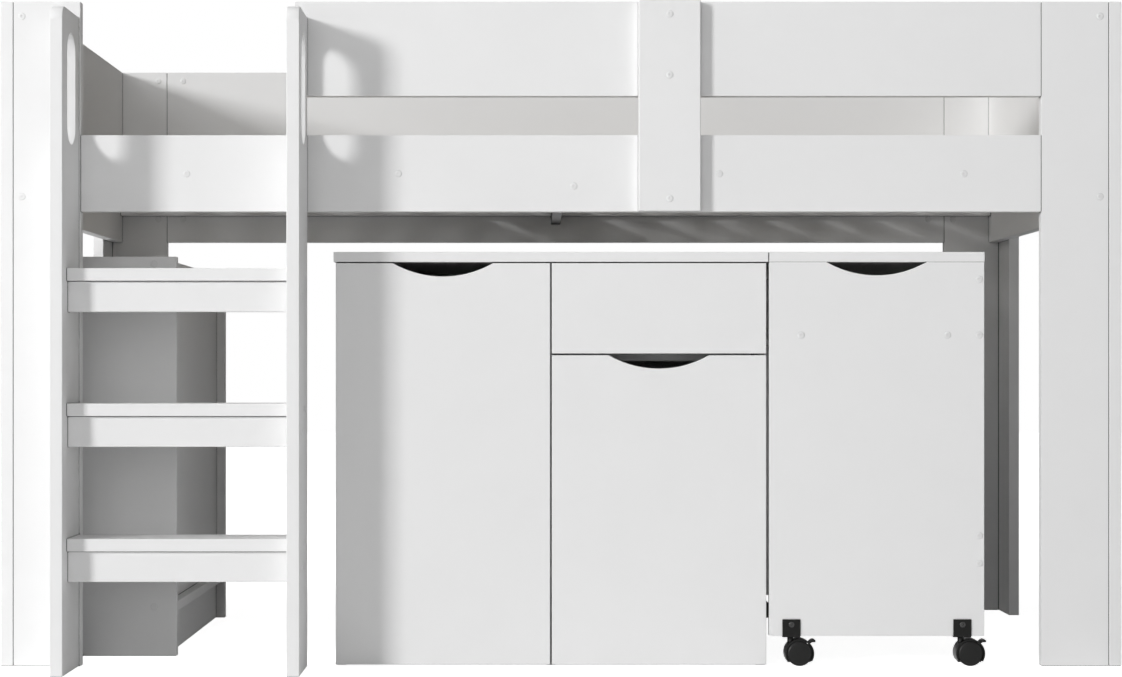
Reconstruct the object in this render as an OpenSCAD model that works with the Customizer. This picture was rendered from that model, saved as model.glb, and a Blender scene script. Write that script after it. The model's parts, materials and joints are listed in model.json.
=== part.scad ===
// Cabin bed: a mid-height bed frame with a ladder, and under it a bookcase,
// a two-door cabinet with a drawer, and a pull-out desk on castors.
// Every module is drawn from the bed's left front bottom corner: x runs to the
// right, y to the back and z up. at_bed() then puts the origin on the floor, at
// the middle of the whole outline. All sizes are in millimetres.

/* [Bed] */
// Length of the mattress that the bed takes
mattress_l = 1900; // [1700:10:2100]
// Width of the mattress that the bed takes
mattress_w = 900; // [800:10:1100]
// Free length left around the mattress
mattress_play_l = 18; // [8:1:30]
// Free width left around the mattress
mattress_play_w = 16; // [8:1:30]
// Thickness of the bed's boards
board_t = 22; // [18:1:26]
// Height of the bed to the top of its posts
bed_h = 1190; // [1150:5:1450]
// Width of the board on each post's front or back
post_face_w = 120; // [90:5:150]
// Depth of the board on each post's outer side
post_side_d = 125; // [90:5:135]
// Height of the side rail's lower edge above the floor
rail_z = 814; // [790:2:900]
// Height of the side rail itself
rail_h = 137; // [120:1:160]
// Height of the upper guard rail itself
guard_h = 169; // [100:1:180]
// Width of the upright brace across the two rails
brace_w = 110; // [80:5:140]
// Distance from the bed's right end to the brace
brace_from_right = 755; // [500:5:900]

/* [Slats] */
// Number of slats
slat_count = 16; // [12:1:20]
// Width of one slat
slat_w = 70; // [50:1:80]
// Thickness of one slat
slat_t = 12; // [9:1:18]
// Height of the ledge's underside above the rail's lower edge
ledge_rise = 58; // [50:1:60]
// Height of the ledge section
ledge_h = 30; // [24:1:36]
// Depth of the ledge section
ledge_d = 25; // [18:1:32]
// Width of the steel bar under the middle slats
bar_w = 20; // [15:1:30]
// Height of that steel bar
bar_h = 48; // [42:1:50]

/* [Ladder] */
// Thickness of the ladder's two sides
stringer_t = 22; // [18:1:25]
// Depth of the ladder's sides in front of the bed
stringer_d = 140; // [120:5:180]
// Distance from the posts' tops down to the ladder's tops
ladder_drop = 28; // [0:2:60]
// Clear width between the ladder's sides
ladder_clear_w = 387; // [300:1:420]
// Distance from the bed's left end to the ladder
ladder_x = 118; // [100:1:140]
// Height of one step above the next
step_rise = 236; // [210:1:250]
// Number of steps
step_count = 3; // [2:1:3]
// Thickness of a tread
tread_t = 22; // [18:1:28]
// Height of the apron under a tread
apron_h = 54; // [40:1:80]
// Width of the hand slot
slot_w = 70; // [50:1:80]
// Length of the hand slot
slot_l = 195; // [150:5:210]

/* [Modules under the bed] */
// Thickness of the bookcase, cabinet and desk boards
panel_t = 18; // [15:1:20]
// Width of the bookcase along the bed
bookcase_w = 290; // [250:5:320]
// Depth of the bookcase across the bed
bookcase_d = 662; // [500:2:680]
// Height of the bookcase
bookcase_h = 741; // [650:1:760]
// Height of the underside of the bookcase's lowest shelf
bookcase_foot = 82; // [60:1:110]
// Free length that the real bed leaves between the bookcase and the cabinet
free_left = 304; // [250:1:340]
// Free length that it leaves between the desk and the right post
free_right = 101.5; // [60:0.5:150]
// Width of the cabinet
cabinet_w = 771; // [700:5:775]
// Depth of the cabinet with its doors
cabinet_d = 500; // [400:5:600]
// Height of the cabinet and desk to their tops
worktop_h = 742; // [680:1:760]
// Height of the drawer's front
drawer_front_h = 162; // [120:1:200]
// Width of the desk
desk_w = 385; // [340:1:400]
// Depth of the desk
desk_d = 750; // [500:5:780]
// Height of the desk panels above the floor
desk_foot = 54; // [54:1:60]
// Chord of a handle scoop
scoop_chord = 180; // [120:2:200]
// Depth of a handle scoop
scoop_depth = 24; // [18:1:30]

/* [Castors] */
// Diameter of a castor wheel
wheel_dia = 45; // [40:1:46]
// Distance that the wheel trails behind its stem
castor_trail = 15; // [12:1:18]
// Overall width of the twin wheels
twin_w = 35; // [34:1:38]
// Distance from the desk's edge to a castor's stem
castor_inset = 39.5; // [39.5:0.5:60]

/* [Hidden] */

$fn = 48;
white = "whitesmoke";
timber = "burlywood";
steel = "silver";
black = [0.1, 0.1, 0.11];

// Clearances
post_seam = 0.9;   // between a post's two boards
seam = 0.4;        // round the end panels, and between a step's two boards
rail_seam = 0.8;   // between a rail's end and the post beside it
bore_play = 0.2;   // round a screw
hinge_play = 0.4;  // between a door's cup and its arm
pin_play = 0.05;   // round a running pin

// Bed
plate_t = 3;
bed_l = mattress_l + mattress_play_l + 4 * board_t + 2 * seam;
bed_d = mattress_w + mattress_play_w + 2 * board_t;
front_y = (stringer_d - bed_d - plate_t) / 2;
post_in = board_t + post_seam + post_face_w;
rail_x0 = post_in + rail_seam;
rail_x1 = bed_l - rail_x0;
back_y = bed_d - board_t;
guard_z = bed_h - guard_h;
end_in = 2 * board_t + seam;
brace_x = bed_l - brace_from_right - brace_w;
ledge_z = rail_z + ledge_rise;
slat_z = ledge_z + ledge_h;
slat_pitch = (bed_l - 2 * end_in) / slat_count;
slat_end_gap = 2;
bar_wall = 1.5;
bar_end_gap = 1;
bar_z = slat_z - bar_h;
bar_foot_h = ledge_z - bar_z - seam;
bar_ear_w = 28;
bar_ear_screw = 23;

// Ladder
left_stringer_x = ladder_x;
right_stringer_x = ladder_x + stringer_t + ladder_clear_w;
stringer_h = bed_h - ladder_drop;
stringer_round = 25;
slot_setback = 63;
slot_y = -slot_setback;
slot_top = stringer_h - 39;
tread_reach = 107;
tread_front = -tread_reach;
tread_back = -seam;
apron_recess = 10;
apron_front = tread_front + apron_recess;
tread_screw_setback = 57;
tread_in = ladder_x + stringer_t;

// Screws
screw_head_r = 6.25;
screw_head_h = 1.2;
screw_r = 2.5;
socket_af_r = 2.2;
socket_h = 0.8;
edge_screw_l = 50;
rail_screw_l = 40;
plate_screw_l = plate_t + 16;
post_screw_in = 38;
post_screw_z = [bed_h - 26, rail_z + 27];
rail_screw_x = [rail_x0 + 189.3, rail_x0 + 568.3, rail_x1 - 576.1, rail_x1 - 138.1];
ledge_front_screw_z = ledge_z + 10;
ledge_back_screw_z = ledge_z + 20;
bar_front_screw_z = bar_z + 6;
bar_back_screw_z = bar_z + 9;
brace_screw_z = [bed_h - 25, guard_z + 35, rail_z + 22];
back_screw_z = [bed_h - 19, rail_z + 51];
stringer_screw_drop = 19;
left_stringer_screw_z = [400, stringer_h - stringer_screw_drop];
right_stringer_screw_z = [rail_z + 26, stringer_h - stringer_screw_drop];
seam_to_post_screw = 19;
seam_to_panel_screw = 36;
plate_margin = 14;
plate_h = 40;
back_plate_z = [bed_h - plate_h, back_screw_z[1] - plate_h / 2];
front_plate_z = rail_z + 10;
guard_plate_z = guard_z + 64;
front_plate_arm = 40;
front_plate_screw = 24;

// Bookcase
bookcase_x = 2;
bookcase_y = 144;
bookcase_top_drop = 5;
bookcase_recess = 18;
plinth_recess = 19;
bookcase_screw_in = 42;
bookcase_mid_drop = 12;
bookcase_shelf_z = [
    bookcase_foot,
    (bookcase_foot + bookcase_h) / 2 - bookcase_mid_drop,
    bookcase_h - bookcase_top_drop - panel_t
];

top_overhang = 4;
desk_gap = 5.4;
desk_top_side = 1;

// The cabinet and the desk stand in a row, and the free length on both sides of the
// row keeps its proportion when the bed or a module gets longer or shorter
row_x0 = bookcase_x + bookcase_w;
row_l = top_overhang + cabinet_w + desk_gap + desk_w + desk_top_side;
free_l = bed_l - post_in - row_x0 - row_l;
cabinet_x = row_x0 + free_l * free_left / (free_left + free_right) + top_overhang;

// Cabinet
door_gap = 1.5;
door_top_gap = 2;
door_foot = 3;
cabinet_back_t = 6;
cabinet_floor_z = 20;
carcass_y = panel_t + door_gap;
carcass_h = worktop_h - panel_t;
partition_x = cabinet_x + cabinet_w / 2 - panel_t / 2;
door_seam_x = cabinet_x + cabinet_w / 2;
door_w = cabinet_w / 2 - door_gap;
door_top = carcass_h - door_top_gap;
middle_door_top = door_top - drawer_front_h - 2 * door_gap;
middle_x = door_seam_x + door_gap;
inner_y1 = cabinet_d - cabinet_back_t;
right_side_x = cabinet_x + cabinet_w - panel_t;
drawer_rail_d = 80;
drawer_rail_rise = 8;
drawer_rail_setback = 60;
shelf_setback = 20;
left_shelf_z = 370;
middle_shelf_z = 280;

// Cup hinges
cup_r = 17.4;
cup_inset = 21.5;
cup_depth = 11;
cup_wall = 2;
cup_rim_r = 19.5;
cup_rim_t = 1;
cup_play = 0.2;
arm_h = 14;
arm_t = 12;
arm_l = 66;
arm_plate_t = 2;
arm_plate_h = 50;
arm_plate_d = 36;
arm_plate_setback = 18;
arm_slot_front = 12;
arm_slot_back = 8;
arm_wall = 1.5;
left_hinge_in = 100;
middle_hinge_in = 90;
left_hinge_z = [left_hinge_in, door_top - left_hinge_in];
middle_hinge_z = [middle_hinge_in, middle_door_top - middle_hinge_in];

// Drawer
runner_gap = 13;
wall_t = 12;
drawer_box_d = 450;
drawer_box_h = 125;
drawer_box_rise = 18;
drawer_box_z = middle_door_top + drawer_box_rise;
drawer_bottom_t = 6;
drawer_bottom_rise = 8;
bay_x0 = partition_x + panel_t;
bay_x1 = right_side_x;
box_x0 = bay_x0 + runner_gap;
box_x1 = bay_x1 - runner_gap;
runner_h = 45;
runner_rise = 28;
runner_z = drawer_box_z + runner_rise;
runner_skin = 1.5;
runner_lip = 10;
runner_play = 0.5;
runner_inset = 4;

// Desk
desk_x = cabinet_x + cabinet_w + desk_gap;
desk_x1 = desk_x + desk_w;
desk_shelf_z = 584;
desk_apron_z = desk_shelf_z;
stretcher_z = 159;
stretcher_h = 100;
side_x = desk_x1 - panel_t;
desk_screw_left = 57;
desk_screw_right = 66;
desk_screw_l = 48;
desk_side_screw_z = [693, 593, 234, 184];

// Castors
bracket_w = 32;
bracket_t = 2;
bracket_screw_z = desk_foot + 21;
bracket_screw_l = panel_t - 2;
stem_r = 4;
stem_collar_r = 5.2;
stem_y = 16;
axle_z = wheel_dia / 2;
hood_r = wheel_dia / 2 + 3.5;
hood_in_r = wheel_dia / 2 + 0.7;
hood_wrap = 13.5;        // how far the hood reaches down below the axle
web_wrap = 16.5;         // and how far the web inside it does
sleeve_r = 5.6;          // of the sleeve round the stem
castor_top = 50;
stem_bottom = 28;
web_half = 5.5;
wheel_side_play = 0.7;
wheel_inset = 0.5;       // of the wheel's face inside the hood's side
wheel_rim = 5;
wheel_hub = 3;
wheel_dish = 2;
axle_r = 2.5;
axle_inset = 1;
brake_slot_half = 8.2;
brake_side_play = 0.4;
brake_pivot_r = wheel_dia / 2 + 2.2;
brake_slot_front = 3.5;  // from the pivot to the slot's front
brake_slot_foot = 3;     // from the pivot down to the slot's floor
brake_pin_r = 1.2;
brake_barrel_r = 1.6;
brake_pin_l = 11.5;
knob_x = 7.3;
knob_z = 4.1;
knob_r = 3;
knob_lip = 0.8;          // how far the knob stands out past the arm's sides
arm_half = 1.3;          // half the thickness of the arm
castor_place = [
    [desk_x + castor_inset, stem_y],
    [desk_x1 - castor_inset, stem_y],
    [desk_x + castor_inset, desk_d - stem_y],
    [desk_x1 - castor_inset, desk_d - stem_y]
];

// Screws, each as [place of the head's underside, direction, length]
post_screws = [
    for (x = [post_screw_in, bed_l - post_screw_in], z = post_screw_z)
    [[x, 0, z], "back", edge_screw_l]
];
ledge_front_screws = [
    for (x = rail_screw_x) [[x, 0, ledge_front_screw_z], "back", rail_screw_l]
];
ledge_back_screws = [
    for (x = rail_screw_x)
    [[x, back_y - ledge_d, ledge_back_screw_z], "back", rail_screw_l]
];
bar_screws = [
    [[bed_l / 2 + bar_ear_screw, 0, bar_front_screw_z], "back", board_t + plate_t],
    [[bed_l / 2, bed_d, bar_back_screw_z], "front", board_t + plate_t]
];
brace_screws = [
    for (z = brace_screw_z)
    [[brace_x + brace_w / 2, -board_t, z], "back", rail_screw_l]
];
back_screws = [
    for (right = [0, 1], side = [-seam_to_post_screw, seam_to_panel_screw], z = back_screw_z)
    [[right ? bed_l - post_in - side : post_in + side, back_y, z], "back", board_t + plate_t]
];
front_plate_screws = [
    for (x = [post_in, bed_l - post_in], s = [-front_plate_screw, front_plate_screw])
    [[x + s, board_t + plate_t, front_plate_z + plate_h / 2], "front", plate_screw_l]
];
guard_plate_screws = [
    for (s = [-front_plate_screw, front_plate_screw])
    [[bed_l - post_in + s, board_t + plate_t, guard_plate_z + plate_h / 2], "front", plate_screw_l]
];
left_stringer_screws = [
    for (z = left_stringer_screw_z)
    [[left_stringer_x + stringer_t / 2, board_t, z], "front", edge_screw_l]
];
right_stringer_screws = [
    for (z = right_stringer_screw_z)
    [[right_stringer_x + stringer_t / 2, board_t, z], "front", edge_screw_l]
];
function step_screws(i) = [
    for (right = [0, 1], apron = [0, 1]) [
        [
            right ? right_stringer_x + stringer_t : left_stringer_x,
            apron ? apron_front + tread_t / 2 : -tread_screw_setback,
            i * step_rise - (apron ? tread_t + apron_h / 2 : tread_t / 2)
        ],
        right ? "left" : "right",
        edge_screw_l
    ]
];
bookcase_screws = [
    for (
        x = [bookcase_x + bookcase_screw_in, bookcase_x + bookcase_w - bookcase_screw_in],
        z = bookcase_shelf_z,
        rear = [0, 1]
    )
    [[x, bookcase_y + rear * bookcase_d, z + panel_t / 2], rear ? "front" : "back", edge_screw_l]
];
desk_panel_screws = [
    for (rear = [0, 1], p = concat(
        [for (x = [desk_x + desk_screw_left, desk_x1 - desk_screw_right]) [x, desk_shelf_z + panel_t / 2]],
        [for (z = desk_side_screw_z) [side_x + panel_t / 2, z]]
    ))
    [[p[0], rear * desk_d, p[1]], rear ? "front" : "back", desk_screw_l]
];
bracket_screws = [
    for (c = castor_place)
    [
        [c[0], c[1] < desk_d / 2 ? -bracket_t : desk_d + bracket_t, bracket_screw_z],
        c[1] < desk_d / 2 ? "back" : "front",
        bracket_screw_l
    ]
];
function all_step_screws() = [for (i = [1:step_count]) for (s = step_screws(i)) s];
all_frame_screws = concat(
    post_screws, ledge_front_screws, ledge_back_screws, bar_screws, brace_screws,
    back_screws, front_plate_screws, guard_plate_screws, left_stringer_screws,
    right_stringer_screws, all_step_screws(), bookcase_screws
);

// Puts the bed's outline centre on the origin
module at_bed() translate([-bed_l / 2, front_y, 0]) children();

module board(corner, size) translate(corner) cube(size);

// Turns +Z to the way that a screw points
module aim(way)
    rotate(
        way == "back" ? [-90, 0, 0] :
        way == "front" ? [90, 0, 0] :
        way == "right" ? [0, 90, 0] :
        way == "left" ? [0, -90, 0] : [0, 0, 0]
    ) children();

module screw(s) {
    translate(s[0]) aim(s[1]) {
        difference() {
            translate([0, 0, -screw_head_h]) cylinder(r = screw_head_r, h = screw_head_h);
            translate([0, 0, -screw_head_h - 1]) cylinder(r = socket_af_r, h = 1 + socket_h, $fn = 6);
        }
        cylinder(r = screw_r, h = s[2]);
    }
}

module screws(list) for (s = list) screw(s);

// Clearance holes for a list of screws, open at the head end
module bores(list)
    for (s = list)
    translate(s[0]) aim(s[1]) translate([0, 0, -1])
    cylinder(r = screw_r + bore_play, h = s[2] + 1 + bore_play);

// Room for the heads of the screws in a list, where another board lies over them
module head_pockets(list)
    for (s = list)
    translate(s[0]) aim(s[1]) translate([0, 0, -screw_head_h - seam])
    cylinder(r = screw_head_r + seam, h = screw_head_h + 2 * seam);

// The two boards of one corner post, upright in their corner
module post(right, back) {
    translate([right * bed_l, back * bed_d, 0]) mirror([right, 0, 0]) mirror([0, back, 0]) {
        board([board_t + post_seam, 0, 0], [post_face_w, board_t, bed_h]);
        board([0, 0, 0], [board_t, post_side_d, bed_h]);
    }
}

module post_front_left() color(white) at_bed() difference() {
    post(0, 0);
    bores(concat(post_screws, front_plate_screws, left_stringer_screws));
}

module post_front_right() color(white) at_bed() difference() {
    post(1, 0);
    bores(concat(post_screws, front_plate_screws, guard_plate_screws));
}

module post_back_left() color(white) at_bed() difference() {
    post(0, 1);
    bores(back_screws);
}

module post_back_right() color(white) at_bed() difference() {
    post(1, 1);
    bores(back_screws);
}

module front_side_rail() color(white) at_bed() difference() {
    board([rail_x0, 0, rail_z], [rail_x1 - rail_x0, board_t, rail_h]);
    bores(concat(ledge_front_screws, bar_screws, brace_screws, front_plate_screws));
    bores(right_stringer_screws);
}

module upper_guard_rail() color(white) at_bed() difference() {
    board([right_stringer_x, 0, guard_z], [rail_x1 - right_stringer_x, board_t, guard_h]);
    bores(concat(brace_screws, guard_plate_screws, right_stringer_screws));
}

module guard_brace() color(white) at_bed() difference() {
    board([brace_x, -board_t, rail_z], [brace_w, board_t, bed_h - rail_z]);
    bores(brace_screws);
    head_pockets(concat(ledge_front_screws, bar_screws));
}

module back_panel() color(white) at_bed() difference() {
    board([rail_x0, back_y, rail_z], [rail_x1 - rail_x0, board_t, bed_h - rail_z]);
    bores(concat(ledge_back_screws, bar_screws, back_screws));
}

module end_panel(right) at_bed() difference() {
    board(
        [right ? bed_l - end_in : board_t + seam, board_t + seam, rail_z],
        [board_t, bed_d - 2 * board_t - 2 * seam, bed_h - rail_z]
    );
    bores(post_screws);
}

module left_end_panel() color(white) end_panel(0);
module right_end_panel() color(white) end_panel(1);

module slat_ledges() color(white) at_bed() difference() {
    for (y = [board_t, back_y - ledge_d])
    board([end_in + seam, y, ledge_z], [bed_l - 2 * end_in - 2 * seam, ledge_d, ledge_h]);
    bores(concat(ledge_front_screws, ledge_back_screws));
}

module bed_slats() color(timber) at_bed()
    for (i = [0:slat_count - 1])
    board(
        [end_in + (i + 0.5) * slat_pitch - slat_w / 2, board_t + slat_end_gap, slat_z],
        [slat_w, bed_d - 2 * board_t - 2 * slat_end_gap, slat_t]
    );

// Steel tube from rail to back panel, with a foot and an end plate under each ledge
module centre_bar() color("dimgray") at_bed() translate([bed_l / 2, 0, 0]) {
    tube_y0 = board_t + ledge_d + bar_end_gap;
    tube_y1 = back_y - ledge_d - bar_end_gap;
    difference() {
        board([-bar_w / 2, tube_y0, bar_z], [bar_w, tube_y1 - tube_y0, bar_h]);
        board(
            [-bar_w / 2 + bar_wall, tube_y0 - 1, bar_z + bar_wall],
            [bar_w - 2 * bar_wall, tube_y1 - tube_y0 + 2, bar_h - 2 * bar_wall]
        );
    }
    difference() {
        union() {
            board([-bar_w / 2, board_t, bar_z], [bar_w, tube_y0 - board_t, bar_foot_h]);
            board([-bar_w / 2, tube_y1, bar_z], [bar_w, back_y - tube_y1, bar_foot_h]);
            board([bar_w / 2, board_t, bar_z], [bar_ear_w, plate_t, bar_foot_h]);
        }
        translate([-bed_l / 2, 0, 0]) bores(bar_screws);
    }
}

// Flat steel plates that join the boards end to end behind each seam
module joint_plates() color(steel) at_bed() difference() {
    union() {
        for (z = back_plate_z, right = [0, 1])
        board(
            [
                right ? bed_l - post_in - seam_to_panel_screw - plate_margin
                    : post_in - seam_to_post_screw - plate_margin,
                bed_d,
                z
            ],
            [seam_to_post_screw + seam_to_panel_screw + 2 * plate_margin, plate_t, plate_h]
        );
        for (x = [post_in, bed_l - post_in])
        board([x - front_plate_arm, board_t, front_plate_z], [2 * front_plate_arm, plate_t, plate_h]);
        board(
            [bed_l - post_in - front_plate_arm, board_t, guard_plate_z],
            [2 * front_plate_arm, plate_t, plate_h]
        );
    }
    bores(concat(back_screws, front_plate_screws, guard_plate_screws));
}

module frame_screws() color(white) at_bed() screws(all_frame_screws);

// Outline of a ladder side, drawn flat with y across and z up
module stringer_outline() difference() {
    union() {
        translate([-stringer_d, 0]) square([stringer_d, stringer_h - stringer_round]);
        translate([-stringer_d + stringer_round, 0]) square([stringer_d - stringer_round, stringer_h]);
        translate([-stringer_d + stringer_round, stringer_h - stringer_round]) circle(r = stringer_round);
    }
    translate([slot_y - slot_w / 2, slot_top - slot_l + slot_w / 2]) square([slot_w, slot_l - slot_w]);
    translate([slot_y, slot_top - slot_w / 2]) circle(r = slot_w / 2);
    translate([slot_y, slot_top - slot_l + slot_w / 2]) circle(r = slot_w / 2);
}

module stringer(x, own_screws) color(white) at_bed() difference() {
    translate([x, 0, 0]) rotate([90, 0, 90]) linear_extrude(stringer_t) stringer_outline();
    bores(concat(own_screws, all_step_screws()));
}

module ladder_left_side() stringer(left_stringer_x, left_stringer_screws);
module ladder_right_side() stringer(right_stringer_x, right_stringer_screws);

// One tread with its apron, two boards between the ladder's sides
module ladder_step(i) color(white) at_bed() if (i <= step_count) difference() {
    union() {
        board(
            [tread_in, tread_front, i * step_rise - tread_t],
            [ladder_clear_w, tread_back - tread_front, tread_t]
        );
        board(
            [tread_in, apron_front, i * step_rise - tread_t - apron_h],
            [ladder_clear_w, tread_t, apron_h - seam]
        );
    }
    bores(step_screws(i));
}

module ladder_step_1() ladder_step(1);
module ladder_step_2() ladder_step(2);
module ladder_step_3() ladder_step(3);

module bookcase_side(y) color(white) at_bed() difference() {
    board([bookcase_x, y, 0], [bookcase_w, panel_t, bookcase_h]);
    bores(bookcase_screws);
}

module bookcase_front_side() bookcase_side(bookcase_y);
module bookcase_rear_side() bookcase_side(bookcase_y + bookcase_d - panel_t);

module bookcase_shelves() color(white) at_bed() difference() {
    for (i = [0:2])
    board(
        [bookcase_x, bookcase_y + panel_t, bookcase_shelf_z[i]],
        [
            bookcase_w - [0, bookcase_recess + panel_t, bookcase_recess][i],
            bookcase_d - 2 * panel_t,
            panel_t
        ]
    );
    bores(bookcase_screws);
}

module bookcase_back() color(white) at_bed()
    board(
        [
            bookcase_x + bookcase_w - bookcase_recess - panel_t,
            bookcase_y + panel_t,
            bookcase_foot + panel_t
        ],
        [
            panel_t,
            bookcase_d - 2 * panel_t,
            bookcase_shelf_z[2] - bookcase_foot - panel_t
        ]
    );

module bookcase_plinth() color(white) at_bed()
    for (x = [plinth_recess, bookcase_w - plinth_recess - panel_t])
    board(
        [bookcase_x + x, bookcase_y + panel_t, 0],
        [panel_t, bookcase_d - 2 * panel_t, bookcase_foot]
    );

// One upright board of the cabinet
module upright(x) color(white) at_bed()
    board([x, carcass_y, 0], [panel_t, cabinet_d - carcass_y, carcass_h]);

module cabinet_left_side() upright(cabinet_x);
module cabinet_partition() upright(partition_x);
module cabinet_right_side() upright(right_side_x);

module cabinet_top() color(white) at_bed()
    board(
        [cabinet_x - top_overhang, 0, carcass_h],
        [cabinet_w + 2 * top_overhang, cabinet_d, panel_t]
    );

module cabinet_shelves() color(white) at_bed() {
    left_w = partition_x - cabinet_x - panel_t;
    middle_w = bay_x1 - bay_x0;
    depth = inner_y1 - carcass_y;
    board([cabinet_x + panel_t, carcass_y, cabinet_floor_z], [left_w, depth, panel_t]);
    board([bay_x0, carcass_y, cabinet_floor_z], [middle_w, depth, panel_t]);
    board(
        [cabinet_x + panel_t, carcass_y + shelf_setback, left_shelf_z],
        [left_w, depth - shelf_setback, panel_t]
    );
    board(
        [bay_x0, carcass_y + shelf_setback, middle_shelf_z],
        [middle_w, depth - shelf_setback, panel_t]
    );
}

module cabinet_back() color(white) at_bed() {
    board(
        [cabinet_x + panel_t, inner_y1, cabinet_floor_z],
        [partition_x - cabinet_x - panel_t, cabinet_back_t, carcass_h - cabinet_floor_z]
    );
    board(
        [bay_x0, inner_y1, cabinet_floor_z],
        [bay_x1 - bay_x0, cabinet_back_t, carcass_h - cabinet_floor_z]
    );
}

module cabinet_drawer_rail() color(white) at_bed()
    board(
        [bay_x0, carcass_y + drawer_rail_setback, middle_door_top - panel_t + drawer_rail_rise],
        [bay_x1 - bay_x0, drawer_rail_d, panel_t]
    );

// A C section that runs front to back, open towards +X, its web on the plane x = 0
module c_section(h, lip, l) difference() {
    cube([lip, l, h]);
    translate([runner_skin, -1, runner_skin]) cube([lip, l + 2, h - 2 * runner_skin]);
}

module drawer_channels() color(steel) at_bed() for (right = [0, 1])
    translate([right ? bay_x1 : bay_x0, carcass_y + runner_inset, runner_z]) mirror([right, 0, 0])
    c_section(runner_h, runner_lip, drawer_box_d);

module drawer_slides() color(steel) at_bed() for (right = [0, 1])
    translate([
        right ? box_x1 : box_x0,
        carcass_y + runner_inset,
        runner_z + runner_skin + runner_play
    ])
    mirror([1 - right, 0, 0])
    c_section(
        runner_h - 2 * runner_skin - 2 * runner_play,
        runner_gap - runner_skin - runner_play,
        drawer_box_d - runner_inset
    );

// The fixed half of a cup hinge, on the board face at x, facing +X
module hinge_arm(x, z) {
    plate_y = carcass_y + arm_plate_setback;
    arm_y = panel_t + cup_rim_t + hinge_play;
    board([x, plate_y, z - arm_plate_h / 2], [arm_plate_t, arm_plate_d, arm_plate_h]);
    difference() {
        board([x + arm_plate_t, arm_y, z - arm_h / 2], [arm_t, arm_l, arm_h]);
        board(
            [x + arm_plate_t, arm_y + arm_slot_front, z - arm_h / 2 + arm_wall],
            [arm_t - arm_wall, arm_l - arm_slot_front - arm_slot_back, arm_h - 2 * arm_wall]
        );
    }
    board([x, plate_y, z - arm_h / 2], [arm_plate_t + arm_wall, arm_plate_d, arm_h]);
}

module hinge_arms() color(steel) at_bed() {
    for (z = left_hinge_z) hinge_arm(cabinet_x + panel_t, z);
    for (z = middle_hinge_z) hinge_arm(bay_x0, z);
}

// The cup that sits in a door's back face
module hinge_cups(x, heights) color(steel) at_bed()
    for (z = heights)
    translate([x + cup_inset, panel_t, z]) rotate([90, 0, 0]) difference() {
        union() {
            cylinder(r = cup_r, h = cup_depth);
            translate([0, 0, -cup_rim_t]) cylinder(r = cup_rim_r, h = cup_rim_t);
        }
        translate([0, 0, -cup_rim_t - 1])
        cylinder(r = cup_r - cup_wall, h = cup_depth - cup_wall + cup_rim_t + 1);
    }

module cup_pockets(x, heights)
    for (z = heights)
    translate([x + cup_inset, panel_t + 1, z]) rotate([90, 0, 0])
    cylinder(r = cup_r + cup_play, h = cup_depth + 1 + bore_play);

// A round-bottomed hand scoop cut down into the top edge of a front
module scoop(x, z) {
    r = (pow(scoop_chord / 2, 2) + pow(scoop_depth, 2)) / (2 * scoop_depth);
    translate([x, -1, z + r - scoop_depth]) rotate([-90, 0, 0])
    cylinder(r = r, h = panel_t + 2, $fn = 96);
}

module door(x, z, w, h, hinge_heights) color(white) at_bed() difference() {
    board([x, 0, z], [w, panel_t, h]);
    scoop(x + w / 2, z + h);
    cup_pockets(x, hinge_heights);
}

module left_door() door(cabinet_x, door_foot, door_w, door_top - door_foot, left_hinge_z);
module left_door_cups() hinge_cups(cabinet_x, left_hinge_z);
module middle_door()
    door(middle_x, door_foot, door_w, middle_door_top - door_foot, middle_hinge_z);
module middle_door_cups() hinge_cups(middle_x, middle_hinge_z);

module drawer_front() color(white) at_bed()
    board([middle_x, 0, door_top - drawer_front_h], [door_w, panel_t, drawer_front_h]);

// The two sides and the back of the drawer's box
module drawer_walls() color(white) at_bed() {
    for (x = [box_x0, box_x1 - wall_t])
    board([x, panel_t, drawer_box_z], [wall_t, drawer_box_d, drawer_box_h]);
    board(
        [box_x0 + wall_t + seam, panel_t + drawer_box_d - wall_t, drawer_box_z],
        [box_x1 - box_x0 - 2 * wall_t - 2 * seam, wall_t, drawer_box_h]
    );
}

module drawer_bottom() color(white) at_bed()
    board(
        [box_x0 + wall_t, panel_t, drawer_box_z + drawer_bottom_rise],
        [box_x1 - box_x0 - 2 * wall_t, drawer_box_d - wall_t, drawer_bottom_t]
    );

module desk_top() color(white) at_bed()
    board([desk_x, 0, carcass_h], [desk_w + desk_top_side, desk_d, panel_t]);

// Front or rear panel of the desk
module desk_panel(y) difference() {
    board([desk_x, y, desk_foot], [desk_w, panel_t, carcass_h - desk_foot]);
    bores(concat(desk_panel_screws, bracket_screws));
}

module desk_front_panel() color(white) at_bed() difference() {
    desk_panel(0);
    scoop(desk_x + desk_w / 2, carcass_h);
}

module desk_rear_panel() color(white) at_bed() desk_panel(desk_d - panel_t);

module desk_shelf() color(white) at_bed() difference() {
    board(
        [desk_x, panel_t, desk_shelf_z],
        [desk_w - panel_t, desk_d - 2 * panel_t, panel_t]
    );
    bores(desk_panel_screws);
}

module desk_side_apron() color(white) at_bed() difference() {
    board(
        [side_x, panel_t, desk_apron_z],
        [panel_t, desk_d - 2 * panel_t, carcass_h - desk_apron_z]
    );
    bores(desk_panel_screws);
}

module desk_side_stretcher() color(white) at_bed() difference() {
    board([side_x, panel_t, stretcher_z], [panel_t, desk_d - 2 * panel_t, stretcher_h]);
    bores(desk_panel_screws);
}

module desk_screws() color(white) at_bed() screws(concat(desk_panel_screws, bracket_screws));

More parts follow.
